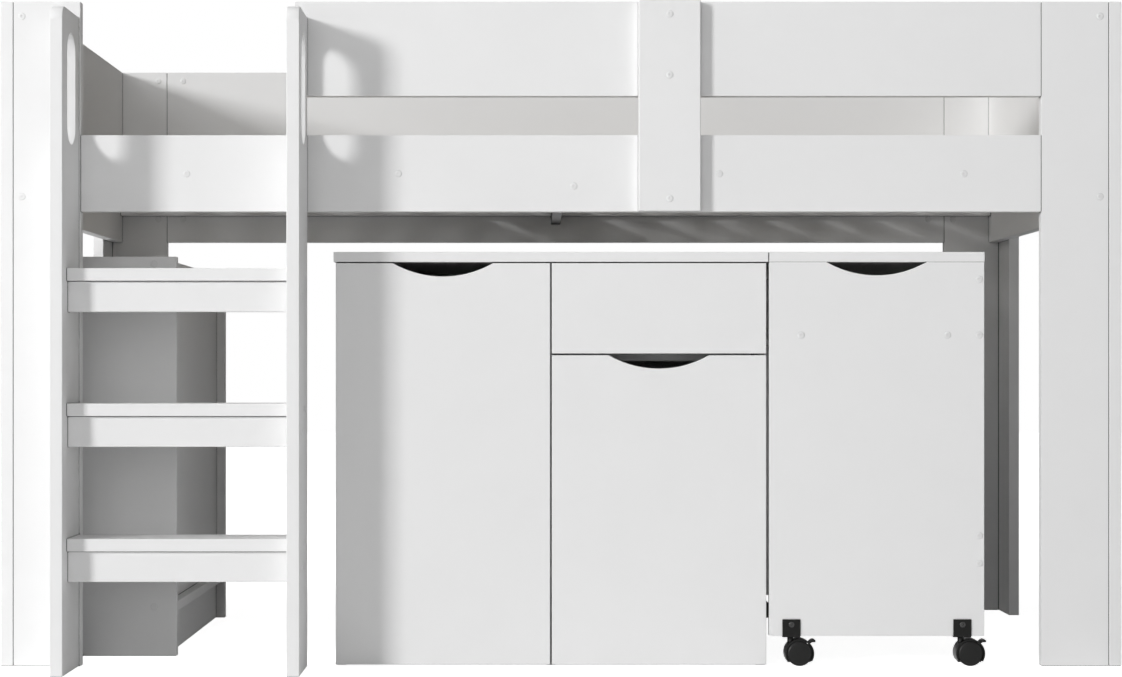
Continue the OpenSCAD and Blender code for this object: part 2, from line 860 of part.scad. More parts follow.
// Steel angles under the desk's panels, each with its castor's stem
module castor_brackets() color(black) at_bed() {
    for (i = [0:3]) {
        rear = castor_place[i][1] > desk_d / 2;
        translate([castor_place[i][0], rear ? desk_d : 0, 0]) mirror([0, rear ? 1 : 0, 0]) {
            difference() {
                union() {
                    board(
                        [-bracket_w / 2, -bracket_t, desk_foot - bracket_t],
                        [bracket_w, bracket_t, bracket_w]
                    );
                    board(
                        [-bracket_w / 2, -bracket_t, desk_foot - bracket_t],
                        [bracket_w, bracket_w + bracket_t, bracket_t]
                    );
                    translate([0, stem_y, stem_bottom])
                    cylinder(r = stem_r, h = desk_foot - bracket_t - stem_bottom);
                    translate([0, stem_y, castor_top + hinge_play])
                    cylinder(r = stem_collar_r, h = desk_foot - bracket_t - castor_top - hinge_play);
                }
                translate([0, -bracket_t - 1, bracket_screw_z]) rotate([-90, 0, 0])
                cylinder(r = screw_r + bore_play, h = bracket_t + 2);
            }
        }
    }
}

// Castor parts, drawn about the axle's middle: the stem is at x = -castor_trail
module at_castor(i)
    at_bed() translate([castor_place[i][0] + castor_trail, castor_place[i][1], axle_z]) children();

module y_rod(r, half) translate([0, -half, 0]) rotate([-90, 0, 0]) cylinder(r = r, h = 2 * half);

module castor_housing(i, has_brake) color(black) at_castor(i) {
    stem_top = castor_top - axle_z;
    stem_low = stem_bottom - axle_z;
    pivot = brake_pivot_r * cos(45);
    difference() {
        union() {
            difference() {
                y_rod(hood_r, twin_w / 2);
                y_rod(hood_in_r, twin_w / 2 + 1);
                board(
                    [-hood_r - 1, -twin_w, -2 * hood_r],
                    [2 * hood_r + 2, 2 * twin_w, 2 * hood_r - hood_wrap]
                );
            }
            difference() {
                y_rod(hood_r, web_half);
                board(
                    [-hood_r - 1, -twin_w, -2 * hood_r],
                    [2 * hood_r + 2, 2 * twin_w, 2 * hood_r - web_wrap]
                );
            }
            translate([-castor_trail, 0, 0]) cylinder(r = sleeve_r, h = stem_top);
        }
        translate([-castor_trail, 0, stem_low - 1])
        cylinder(r = stem_r + pin_play, h = stem_top - stem_low + 2);
        if (has_brake) {
            board(
                [pivot - brake_slot_front, -brake_slot_half, pivot - brake_slot_foot],
                [hood_r, 2 * brake_slot_half, hood_r]
            );
            translate([pivot, 0, pivot]) y_rod(brake_pin_r + pin_play, brake_pin_l + bore_play);
        }
    }
    y_rod(axle_r, twin_w / 2 - axle_inset);
}

module castor_wheels(i) color(black) at_castor(i) for (side = [0, 1]) mirror([0, side, 0])
    translate([0, web_half + wheel_side_play, 0]) rotate([-90, 0, 0]) difference() {
        width = twin_w / 2 - web_half - wheel_side_play - wheel_inset;
        cylinder(r = wheel_dia / 2, h = width, $fn = 96);
        translate([0, 0, -1]) cylinder(r = axle_r + pin_play, h = width + 2);
        translate([0, 0, width - wheel_dish]) difference() {
            cylinder(r = wheel_dia / 2 - wheel_rim, h = wheel_dish + 1);
            translate([0, 0, -1]) cylinder(r = axle_r + wheel_hub, h = wheel_dish + 3);
        }
    }

// Foot lever over a front castor's hood, with its pivot pin
module brake_lever(i) color(black) at_castor(i) {
    pivot = brake_pivot_r * cos(45);
    half = brake_slot_half - brake_side_play;
    translate([pivot, 0, pivot]) {
        y_rod(brake_pin_r, brake_pin_l);
        y_rod(brake_barrel_r, half);
        translate([knob_x, 0, knob_z]) y_rod(knob_r, half);
        rotate([0, -atan2(knob_z, knob_x), 0])
        board(
            [0, knob_lip - half, -arm_half],
            [norm([knob_x, knob_z]), 2 * (half - knob_lip), 2 * arm_half]
        );
    }
}

module castor_housing_1() castor_housing(0, true);
module castor_housing_2() castor_housing(1, true);
module castor_housing_3() castor_housing(2, false);
module castor_housing_4() castor_housing(3, false);
module castor_wheels_1() castor_wheels(0);
module castor_wheels_2() castor_wheels(1);
module castor_wheels_3() castor_wheels(2);
module castor_wheels_4() castor_wheels(3);
module brake_lever_1() brake_lever(0);
module brake_lever_2() brake_lever(1);

post_front_left();
post_front_right();
post_back_left();
post_back_right();
front_side_rail();
upper_guard_rail();
guard_brace();
back_panel();
left_end_panel();
right_end_panel();
slat_ledges();
bed_slats();
centre_bar();
joint_plates();
frame_screws();
ladder_left_side();
ladder_right_side();
ladder_step_1();
ladder_step_2();
ladder_step_3();
bookcase_front_side();
bookcase_rear_side();
bookcase_shelves();
bookcase_back();
bookcase_plinth();
cabinet_left_side();
cabinet_partition();
cabinet_right_side();
cabinet_top();
cabinet_shelves();
cabinet_back();
cabinet_drawer_rail();
drawer_channels();
hinge_arms();
left_door();
left_door_cups();
middle_door();
middle_door_cups();
drawer_front();
drawer_walls();
drawer_bottom();
drawer_slides();
desk_top();
desk_front_panel();
desk_rear_panel();
desk_shelf();
desk_side_apron();
desk_side_stretcher();
desk_screws();
castor_brackets();
castor_housing_1();
castor_housing_2();
castor_housing_3();
castor_housing_4();
castor_wheels_1();
castor_wheels_2();
castor_wheels_3();
castor_wheels_4();
brake_lever_1();
brake_lever_2();
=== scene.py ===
# %% [markdown]
# # A white cabin bed, with a ladder, a bookcase, a cabinet and a desk on castors
#
# The real object is flat-pack furniture: 56 boards of white-faced chipboard, a
# set of softwood slats, and a handful of steel and nylon fittings. The exact
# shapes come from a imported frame, in which every board is already at its real size
# and place. This script gives those shapes their finish: eased edges, board faces,
# screws, slats, castors, light and a camera.

# %% Load the frame
import json
import math

import bmesh
import bpy
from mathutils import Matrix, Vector


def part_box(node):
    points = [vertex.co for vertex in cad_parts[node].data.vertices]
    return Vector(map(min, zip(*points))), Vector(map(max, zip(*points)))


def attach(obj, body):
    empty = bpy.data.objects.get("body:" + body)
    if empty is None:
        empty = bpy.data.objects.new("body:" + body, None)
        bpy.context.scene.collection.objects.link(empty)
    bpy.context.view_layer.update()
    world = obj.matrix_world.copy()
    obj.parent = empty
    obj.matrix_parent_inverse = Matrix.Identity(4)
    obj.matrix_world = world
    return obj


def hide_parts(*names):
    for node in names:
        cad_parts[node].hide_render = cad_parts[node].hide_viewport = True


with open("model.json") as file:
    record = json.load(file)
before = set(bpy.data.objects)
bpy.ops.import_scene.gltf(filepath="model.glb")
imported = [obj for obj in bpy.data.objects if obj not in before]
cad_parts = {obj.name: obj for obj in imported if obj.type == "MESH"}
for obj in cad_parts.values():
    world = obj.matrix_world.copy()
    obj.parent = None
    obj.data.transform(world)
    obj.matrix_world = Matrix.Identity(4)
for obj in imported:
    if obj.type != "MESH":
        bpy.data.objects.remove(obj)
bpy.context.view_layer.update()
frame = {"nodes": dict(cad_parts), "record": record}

# %% [markdown]
# ## The camera
#
# The photograph looks straight at the bed's front: all lines that run to the back
# meet in one point. A camera that is turned or tilted would bend them away from
# it, so this one stands level and square to the front. It is only moved sideways
# and up or down until that point fits, and the rest of the framing is lens shift,
# as on a view camera.

# %% Camera
PHOTO_W, PHOTO_H = 1122, 677
VANISH_X, VANISH_Y = 532.8, 372.5       # where the photograph's depth lines meet
LENS_DISTANCE = 3.968                   # metres from the lens to the side rail's front face
LENS_HEIGHT = 0.526                     # metres above the floor
LENS_SIDE = -0.0505                     # metres, to the left of the bed's middle
FOCAL_PX = 2216.0                       # the focal length, in pixels of the photograph
SENSOR_MM = 36.0

front_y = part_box("front_side_rail")[0].y
cam_data = bpy.data.cameras.new("camera")
cam_data.sensor_width = SENSOR_MM
cam_data.lens = FOCAL_PX / PHOTO_W * SENSOR_MM
cam_data.shift_x = (PHOTO_W / 2 - VANISH_X) / PHOTO_W
cam_data.shift_y = (VANISH_Y - PHOTO_H / 2) / PHOTO_W
camera = bpy.data.objects.new("camera", cam_data)
camera.location = (LENS_SIDE, front_y - LENS_DISTANCE, LENS_HEIGHT)
camera.rotation_euler = (math.pi / 2, 0, 0)
bpy.context.scene.collection.objects.link(camera)
bpy.context.scene.camera = camera
print("lens %.1f mm, shift %.4f %.4f" % (cam_data.lens, cam_data.shift_x, cam_data.shift_y))

# %% [markdown]
# ## Helpers for every material
#
# A colour is written as the sRGB hex value that a paint card would give, and one
# function turns it to the linear numbers that the shader needs. A second function
# adds a node to a tree, sets its inputs and makes its links, so that each material
# and each geometry tree below reads as a list of what it is made of. Two short ones
# start a material and give its patterns the object's own coordinates.

# %% Colour and node helpers
MM = 0.001


def linear(hex_value):
    """An sRGB hex colour as linear red, green, blue and alpha."""
    parts = [int(hex_value[i:i + 2], 16) / 255 for i in (1, 3, 5)]
    return [p / 12.92 if p <= 0.04045 else ((p + 0.055) / 1.055) ** 2.4 for p in parts] + [1.0]


def add(tree, kind, settings=None, **inputs):
    """Adds a node. An input that is a socket is linked, and any other is set.

    An underscore in an input's name stands for a space, and i0, i1 and i2 are inputs by number.
    """
    made = tree.nodes.new(kind)
    for key, value in (settings or {}).items():
        setattr(made, key, value)
    for key, value in inputs.items():
        by_number = key[0] == "i" and key[1:].isdigit()
        socket = made.inputs[int(key[1:])] if by_number else made.inputs[key.replace("_", " ")]
        if isinstance(value, bpy.types.NodeSocket):
            tree.links.new(value, socket)
        else:
            socket.default_value = value
    return made


def new_material(name, base, roughness, metallic=0.0, specular=0.5):
    """A material with one Principled shader. Returns it, its tree and the shader."""
    made = bpy.data.materials.new(name)
    made.use_nodes = True
    shader = made.node_tree.nodes["Principled BSDF"]
    shader.inputs["Base Color"].default_value = linear(base)
    shader.inputs["Roughness"].default_value = roughness
    shader.inputs["Metallic"].default_value = metallic
    shader.inputs["Specular IOR Level"].default_value = specular
    return made, made.node_tree, shader


def place(tree, scale):
    """Object coordinates, stretched by a scale for each axis."""
    where = add(tree, "ShaderNodeTexCoord")
    return add(tree, "ShaderNodeMapping", Vector=where.outputs["Object"], Scale=scale).outputs["Vector"]


# %% [markdown]
# ## White melamine-faced board
#
# The boards are chipboard with a white melamine paper pressed on. From close up
# the face isn't glassy: the press plate leaves a pebble less than a millimetre
# wide, and the chips below leave broad, very faint waves. The white is a neutral
# one. Two noises do it: one in the bump for the pebble, one in the colour and
# roughness for the waves. Where two boards meet, a hairline gap stays dark. It is
# too narrow to model on every joint, so its shade is painted instead: an Ambient
# Occlusion node darkens the colour in the last millimetres of a face that runs
# into its neighbour, whichever way it is seen.

# %% White board
BOARD_WHITE, BOARD_SHADE = "#F0F0F0", "#ECECEC"
BOARD_ROUGH, BOARD_ROUGH_SPREAD = 0.68, 0.04
WAVES_PER_METRE = 9.0                   # so that a broad wave is about 110 mm long
PEBBLE_MM = 1.6                         # drawn twice as coarse as real, so that it shows
PEBBLE_DEPTH = 0.2 * MM
# painted shade in the joints: an Ambient Occlusion node darkens the board's colour there
JOINT_REACH = 4.0 * MM                  # how far from its neighbour a face begins to darken
JOINT_SHADE = 0.12                      # what is left of the white deep in a joint
JOINT_DEEP, JOINT_CLEAR = 0.30, 0.80    # how open a spot lies deep in a joint, and clear of it


def make_board():
    """White melamine board, pressed with a fine pebble, with shade painted into its joints."""
    made, tree, shader = new_material("white_melamine_board", BOARD_WHITE, BOARD_ROUGH, specular=0.22)
    spot = place(tree, (1, 1, 1))
    wave = add(
        tree, "ShaderNodeTexNoise", Vector=spot, Scale=WAVES_PER_METRE, Detail=3.0, Roughness=0.55
    )
    tone = add(tree, "ShaderNodeMix", {"data_type": "RGBA"}, Factor=wave.outputs["Fac"])
    tone.inputs["A"].default_value = linear(BOARD_SHADE)
    tone.inputs["B"].default_value = linear(BOARD_WHITE)
    rough = add(
        tree, "ShaderNodeMapRange", Value=wave.outputs["Fac"],
        To_Min=BOARD_ROUGH - BOARD_ROUGH_SPREAD, To_Max=BOARD_ROUGH + BOARD_ROUGH_SPREAD,
    )
    pebble = add(tree, "ShaderNodeTexNoise", Vector=spot, Scale=1 / (PEBBLE_MM * MM), Detail=2.0)
    bump = add(
        tree, "ShaderNodeBump", Strength=0.16, Distance=PEBBLE_DEPTH, Height=pebble.outputs["Fac"]
    )
    # painted shade: the colour is darkened where a neighbour lies within JOINT_REACH
    near = add(tree, "ShaderNodeAmbientOcclusion", {"samples": 8}, Distance=JOINT_REACH)
    painted_joint_shade = add(
        tree, "ShaderNodeMapRange", Value=near.outputs["AO"],
        From_Min=JOINT_DEEP, From_Max=JOINT_CLEAR, To_Min=JOINT_SHADE,
    )
    shaded = add(tree, "ShaderNodeVectorMath", {"operation": "SCALE"}, Vector=tone.outputs["Result"])
    tree.links.new(painted_joint_shade.outputs["Result"], shaded.inputs["Scale"])
    tree.links.new(shaded.outputs["Vector"], shader.inputs["Base Color"])
    tree.links.new(rough.outputs["Result"], shader.inputs["Roughness"])
    tree.links.new(bump.outputs["Normal"], shader.inputs["Normal"])
    return made


board_white = make_board()
print("finish:", board_white.name)

# %% [markdown]
# ## Planed pine
#
# The slats are pine, and the grain runs along each one, from front to back. Late
# wood draws darker lines 3 to 5 mm apart over a warm pale ground, and the planer
# leaves a slight sheen. A fine noise that is stretched along the slat gives the
# lines, and a broad one that multiplies it makes some of them fade. Both read the
# object's own coordinates, so each slat shows another part of the same board.

# %% Pine
PINE_PALE, PINE_DARK = "#E4DBCB", "#CDBFA8"
GRAIN_MM = 4.0
GRAIN_DEPTH = 0.3 * MM
ALONG_GRAIN = 0.06                      # how slowly the grain changes along a slat
BANDS_PER_METRE = 24.0                  # broad paler and darker bands, about 40 mm wide
PALE_AT, DARK_AT = 0.12, 0.48           # noise levels of the palest and the darkest wood


def make_pine():
    """Planed pine with its grain from front to back."""
    made, tree, shader = new_material("planed_pine", PINE_PALE, roughness=0.55)
    spot = place(tree, (1, ALONG_GRAIN, 1))
    bands = add(
        tree, "ShaderNodeTexNoise", Vector=spot, Scale=BANDS_PER_METRE, Detail=4.0, Roughness=0.6
    )
    grain = add(
        tree, "ShaderNodeTexNoise", Vector=spot, Scale=1 / (GRAIN_MM * MM), Detail=3.0, Distortion=1.2
    )
    both = add(
        tree, "ShaderNodeMath", {"operation": "MULTIPLY"},
        i0=bands.outputs["Fac"], i1=grain.outputs["Fac"],
    )
    ramp = add(tree, "ShaderNodeValToRGB", Fac=both.outputs["Value"])
    ramp.color_ramp.elements[0].position = PALE_AT
    ramp.color_ramp.elements[0].color = linear(PINE_PALE)
    ramp.color_ramp.elements[1].position = DARK_AT
    ramp.color_ramp.elements[1].color = linear(PINE_DARK)
    bump = add(
        tree, "ShaderNodeBump", Strength=0.25, Distance=GRAIN_DEPTH, Height=grain.outputs["Fac"]
    )
    tree.links.new(ramp.outputs["Color"], shader.inputs["Base Color"])
    tree.links.new(bump.outputs["Normal"], shader.inputs["Normal"])
    return made


pine = make_pine()
print("finish:", pine.name)

# %% [markdown]
# ## Zinc plate
#
# The hinges, runners and joining plates are zinc-plated steel: a cool grey metal
# with a fine crystalline mottle a few millimetres across. A Voronoi pattern has
# that look, and it drives both the tone and the roughness a little.

# %% Zinc plate
ZINC, ZINC_DARK = "#B9BCBF", "#A2A6AA"
CRYSTAL_MM = 5.0
ZINC_SMOOTH, ZINC_ROUGH = 0.28, 0.42    # roughness in the middle of a crystal, and far from it


def make_zinc():
    """Zinc-plated steel with a soft mottle."""
    made, tree, shader = new_material("zinc_plated_steel", ZINC, roughness=0.34, metallic=1.0)
    cells = add(
        tree, "ShaderNodeTexVoronoi", Vector=place(tree, (1, 1, 1)), Scale=1 / (CRYSTAL_MM * MM)
    )
    tone = add(tree, "ShaderNodeMix", {"data_type": "RGBA"}, Factor=cells.outputs["Distance"])
    tone.inputs["A"].default_value = linear(ZINC)
    tone.inputs["B"].default_value = linear(ZINC_DARK)
    rough = add(
        tree, "ShaderNodeMapRange", Value=cells.outputs["Distance"],
        To_Min=ZINC_SMOOTH, To_Max=ZINC_ROUGH,
    )
    tree.links.new(tone.outputs["Result"], shader.inputs["Base Color"])
    tree.links.new(rough.outputs["Result"], shader.inputs["Roughness"])
    return made


zinc = make_zinc()
print("finish:", zinc.name)

# %% [markdown]
# ## Powder coat, nylon, polyurethane, enamel and black oxide
#
# Five finishes differ only in colour, gloss and grain, so one function makes them.
# The bar under the slats and the castor brackets are black powder coat, with the
# texture of fine orange peel. The castor hoods are moulded glass-filled nylon,
# nearly black, with a soft gloss that draws a line on every rounded rim. The
# wheels' treads are a duller polyurethane. The screw heads are white enamel, a
# touch glossier than the board they sit on, which is what makes them show at all,
# and those on the castors' angles are black oxide, which takes a small sharp spark.

# %% Fine-grained coats
COAT_ROUGH_SPREAD = 0.07
COAT_DEPTH = 0.2 * MM                   # of the grain at full strength


def make_coat(name, hex_value, roughness, grain_mm, strength, specular=0.5):
    """A coat or moulding with a fine grain of a given size in millimetres."""
    made, tree, shader = new_material(name, hex_value, roughness, specular=specular)
    peel = add(
        tree, "ShaderNodeTexNoise", Vector=place(tree, (1, 1, 1)), Scale=1 / (grain_mm * MM), Detail=2.0
    )
    rough = add(
        tree, "ShaderNodeMapRange", Value=peel.outputs["Fac"],
        To_Min=roughness - COAT_ROUGH_SPREAD, To_Max=roughness + COAT_ROUGH_SPREAD,
    )
    bump = add(
        tree, "ShaderNodeBump", Strength=strength, Distance=COAT_DEPTH, Height=peel.outputs["Fac"]
    )
    tree.links.new(rough.outputs["Result"], shader.inputs["Roughness"])
    tree.links.new(bump.outputs["Normal"], shader.inputs["Normal"])
    return made


powder_black = make_coat(
    "black_powder_coated_steel", "#0B0B0A", roughness=0.5, grain_mm=1.5, strength=0.4, specular=0.16
)
nylon_black = make_coat(
    "moulded_black_nylon", "#0D0D0C", roughness=0.36, grain_mm=1.0, strength=0.2, specular=0.2
)
tread_black = make_coat(
    "black_polyurethane_tread", "#090909", roughness=0.5, grain_mm=0.8, strength=0.3, specular=0.16
)
enamel_white = make_coat(
    "white_enamelled_steel", "#E6E6E6", roughness=0.3, grain_mm=2.0, strength=0.05
)
oxide_black = make_coat(
    "black_oxide_steel", "#1A1A1A", roughness=0.22, grain_mm=0.8, strength=0.1
)
for coat in (powder_black, nylon_black, tread_black, enamel_white, oxide_black):
    print("finish:", coat.name)

# %% [markdown]
# ## Reading solids out of the frame
#
# A node of the frame can hold several solids, such as the sixteen slats or the
# bed's 59 screws. Their places are worked out here from the mesh: a copy has its
# doubles merged, and each island of joined points gives one box. A screw is longer
# than its head is wide, so the box's longest side is its axis, and the points that
# lie far from that axis are its head.

# %% Solids and screws
MERGE_REACH = 0.01 * MM                 # corners of loose triangles that lie this close are one
HEAD_REACH = 4.0 * MM                   # only a head's points lie further out than this


def islands(node):
    """The points of each separate solid in a frame node."""
    work = bmesh.new()
    work.from_mesh(frame["nodes"][node].data)
    bmesh.ops.remove_doubles(work, verts=work.verts, dist=MERGE_REACH)
    left = set(work.verts)
    found = []
    while left:
        group, waiting = [], [left.pop()]
        while waiting:
            vert = waiting.pop()
            group.append(vert.co.copy())
            for edge in vert.link_edges:
                other = edge.other_vert(vert)
                if other in left:
                    left.remove(other)
                    waiting.append(other)
        found.append(group)
    work.free()
    return found


def corners(points):
    """Lowest and highest corner of some points."""
    low = Vector([min(p[i] for p in points) for i in range(3)])
    high = Vector([max(p[i] for p in points) for i in range(3)])
    return low, high


def read_screw(points):
    """Where a screw's head meets the board, the way it points, and its shank's length."""
    low, high = corners(points)
    size = high - low
    axis = max(range(3), key=lambda i: size[i])
    middle = (low + high) / 2
    across = [i for i in range(3) if i != axis]
    head = [p[axis] for p in points if math.hypot(*(p[i] - middle[i] for i in across)) > HEAD_REACH]
    head_is_low = sum(head) / len(head) < middle[axis]
    seat = middle.copy()
    seat[axis] = max(head) if head_is_low else min(head)
    way = Vector((0, 0, 0))
    way[axis] = 1 if head_is_low else -1
    length = (high[axis] - seat[axis]) if head_is_low else (seat[axis] - low[axis])
    return seat, way, length


frame_screws = [read_screw(points) for points in islands("frame_screws")]
desk_screws = [read_screw(points) for points in islands("desk_screws")]
print("screws in the frame:", len(frame_screws), "and in the desk:", len(desk_screws))

# %% [markdown]
# ## Eased edges on every board
#
# A board's edge is never razor sharp: its edging is trimmed to a radius of about a
# millimetre, and that small round is what catches the light along every edge in
# the photograph. Each board is copied from the frame, its loose triangles are
# merged into clean faces, and a Bevel modifier rounds the edges that are marked
# for it. The rims of the screw holes aren't marked, because a head covers them.
# Large faces are shaded flat, so that no round can bend their shading, and only
# the small facets of a curve are smooth. The frame's own mesh is left as it is.

# %% Board copies
EDGE_RADIUS = 1.2 * MM
EDGE_SEGMENTS = 3
SHARP_ANGLE = math.radians(30)          # an edge that turns more than this is eased
FLAT_ANGLE = math.radians(0.5)          # faces that turn less than this are one
CURVE_FACET_AREA = 4e-4                 # square metres: no facet of a curve is larger
HOLE_REACH = 3.3 * MM                   # a hole's wall is nearer to its screw's axis than this
HOLE_MOUTH = 30 * MM                    # a hole begins less than this in front of the seat
HOLE_END = 3 * MM                       # and ends less than this past the shank


def on_screw_hole(point):
    """True where a point lies on the rim or wall of a screw's hole."""
    for seat, way, length in frame_screws + desk_screws:
        offset = point - seat
        along = offset.dot(way)
        beside = (offset - way * along).length
        if -HOLE_MOUTH < along < length + HOLE_END and beside < HOLE_REACH:
            return True
    return False


def clean_copy(node):
    """A copy of a frame node with flat faces, and weights on the edges to be eased."""
    mesh = frame["nodes"][node].data.copy()
    mesh.name = node + "_finished"
    made = bpy.data.objects.new(node + "_finished", mesh)
    bpy.context.scene.collection.objects.link(made)
    work = bmesh.new()
    work.from_mesh(mesh)
    bmesh.ops.remove_doubles(work, verts=work.verts, dist=MERGE_REACH)
    bmesh.ops.dissolve_limit(work, angle_limit=FLAT_ANGLE, verts=work.verts, edges=work.edges)
    weight = work.edges.layers.float.new("bevel_weight_edge")
    for edge in work.edges:
        sharp = len(edge.link_faces) == 2 and edge.calc_face_angle() > SHARP_ANGLE
        middle = (edge.verts[0].co + edge.verts[1].co) / 2
        edge[weight] = 1.0 if sharp and not on_screw_hole(middle) else 0.0
    for face in work.faces:
        gentle = [
            edge for edge in face.edges
            if len(edge.link_faces) == 2 and FLAT_ANGLE < edge.calc_face_angle() < SHARP_ANGLE
        ]
        face.smooth = bool(gentle) and face.calc_area() < CURVE_FACET_AREA
    work.to_mesh(mesh)
    work.free()
    return made


slot_of = {part["node"]: part["material_slot"] for part in frame["record"]["subparts"]}
body_of = {}
for body, nodes in frame["record"]["behaviour"]["bodies"].items():
    for node in nodes:
        body_of[node] = body


def finish_piece(piece, node, material):
    """Gives a piece a material and the body of the frame node that it replaces, and hides that node."""
    piece.data.materials.clear()
    piece.data.materials.append(material)
    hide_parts(node)
    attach(piece, body_of[node])


def ease_edges(piece, radius):
    """Rounds a piece's marked edges."""
    bevel = piece.modifiers.new("eased edges", "BEVEL")
    bevel.width = radius
    bevel.segments = EDGE_SEGMENTS
    bevel.limit_method = "WEIGHT"
    bevel.use_clamp_overlap = False
    return piece


boards = [node for node, slot in slot_of.items() if slot == "white_board"]
for node in boards:
    finish_piece(ease_edges(clean_copy(node), EDGE_RADIUS), node, board_white)
print("nodes of boards with eased edges:", len(boards))

# %% [markdown]
# ## Steel pieces
#
# Hinges, runners, plates, the centre bar and the castors' angles are bent or
# stamped sheet. They keep the frame's shape, with only a small radius on the
# edges: sheet metal that is stamped has one of a few tenths of a millimetre.

# %% Steel fittings
STEEL_FITTINGS = {                      # finish, and the edges' radius in millimetres
    "joint_plates": (zinc, 0.4),
    "drawer_channels": (zinc, 0.2),
    "drawer_slides": (zinc, 0.2),
    "hinge_arms": (zinc, 0.3),
    "left_door_cups": (zinc, 0.2),
    "middle_door_cups": (zinc, 0.2),
    "centre_bar": (powder_black, 0.5),
    "castor_brackets": (powder_black, 0.5),
}
for node, (material, radius) in STEEL_FITTINGS.items():
    finish_piece(ease_edges(clean_copy(node), radius * MM), node, material)
print("steel fittings:", ", ".join(STEEL_FITTINGS))

# %% [markdown]
# ## Geometry trees for what repeats
#
# Screws and slats are each one shape, placed many times. Geometry Nodes suit that:
# one tree holds the shape, its sizes are named inputs, and it ends by making the
# copies real and giving them their material. The helper functions make a tree's
# sockets, close a tree, and bake its result to a plain mesh.

# %% Geometry tree helpers
def new_geometry_tree(name, inputs):
    """A tree with inputs for geometry, the given values and a material. Returns it and them."""
    tree = bpy.data.node_groups.new(name, "GeometryNodeTree")
    face = tree.interface
    face.new_socket("Geometry", in_out="INPUT", socket_type="NodeSocketGeometry")
    for title, kind in inputs.items():
        face.new_socket(title, in_out="INPUT", socket_type="NodeSocket" + kind)
    face.new_socket("Material", in_out="INPUT", socket_type="NodeSocketMaterial")
    face.new_socket("Geometry", in_out="OUTPUT", socket_type="NodeSocketGeometry")
    return tree, add(tree, "NodeGroupInput").outputs


def close_geometry_tree(tree, geometry, material):
    """Ends a tree with real copies, a material and the output."""
    real = add(tree, "GeometryNodeRealizeInstances", Geometry=geometry)
    painted = add(tree, "GeometryNodeSetMaterial", Geometry=real.outputs["Geometry"], Material=material)
    add(tree, "NodeGroupOutput", Geometry=painted.outputs["Geometry"])


def grow(name, mesh, tree, values):
    """Runs a tree on a mesh with the given input values. Returns the result as a plain piece."""
    piece = bpy.data.objects.new(name, mesh)
    bpy.context.scene.collection.objects.link(piece)
    modifier = piece.modifiers.new(name, "NODES")
    modifier.node_group = tree
    for item in tree.interface.items_tree:
        if item.in_out == "INPUT" and item.name in values:
            modifier[item.identifier] = values[item.name]
    evaluated = piece.evaluated_get(bpy.context.evaluated_depsgraph_get())
    baked = bpy.data.meshes.new_from_object(evaluated)
    piece.modifiers.clear()
    piece.data = baked
    print(name, "has", len(baked.polygons), "faces")
    return piece


def lifted(tree, geometry, height):
    """Geometry moved up by a height."""
    up = add(tree, "ShaderNodeCombineXYZ", Z=height)
    moved = add(tree, "GeometryNodeTransform", Geometry=geometry, Translation=up.outputs["Vector"])
    return moved.outputs["Geometry"]


# %% [markdown]
# ## Screws
#
# Boards of this kind are pulled together by screws with a flat, round, enamelled
# head and a hexagonal socket. The head is turned with a low dome, which shows in
# the photograph as a faint ring with a dark dot. In the tree, a low cylinder is
# the head's foot, its top face is pulled up and drawn in a few times for the dome,
# and a six-sided plug cuts the socket. Each point of the input mesh carries the
# way its head faces and its shank's length.

# %% Screw tree
HEAD_SIDES, SHANK_SIDES, SOCKET_SIDES = 28, 10, 6
FOOT_SHARE = 0.35                       # of the head's height
DOME_STEPS = [(0.30, 0.95), (0.22, 0.86), (0.13, 0.68)]     # share of the height, drawn in to
SOCKET_OVERRUN = 1.0 * MM               # how far the plug stands out of the head


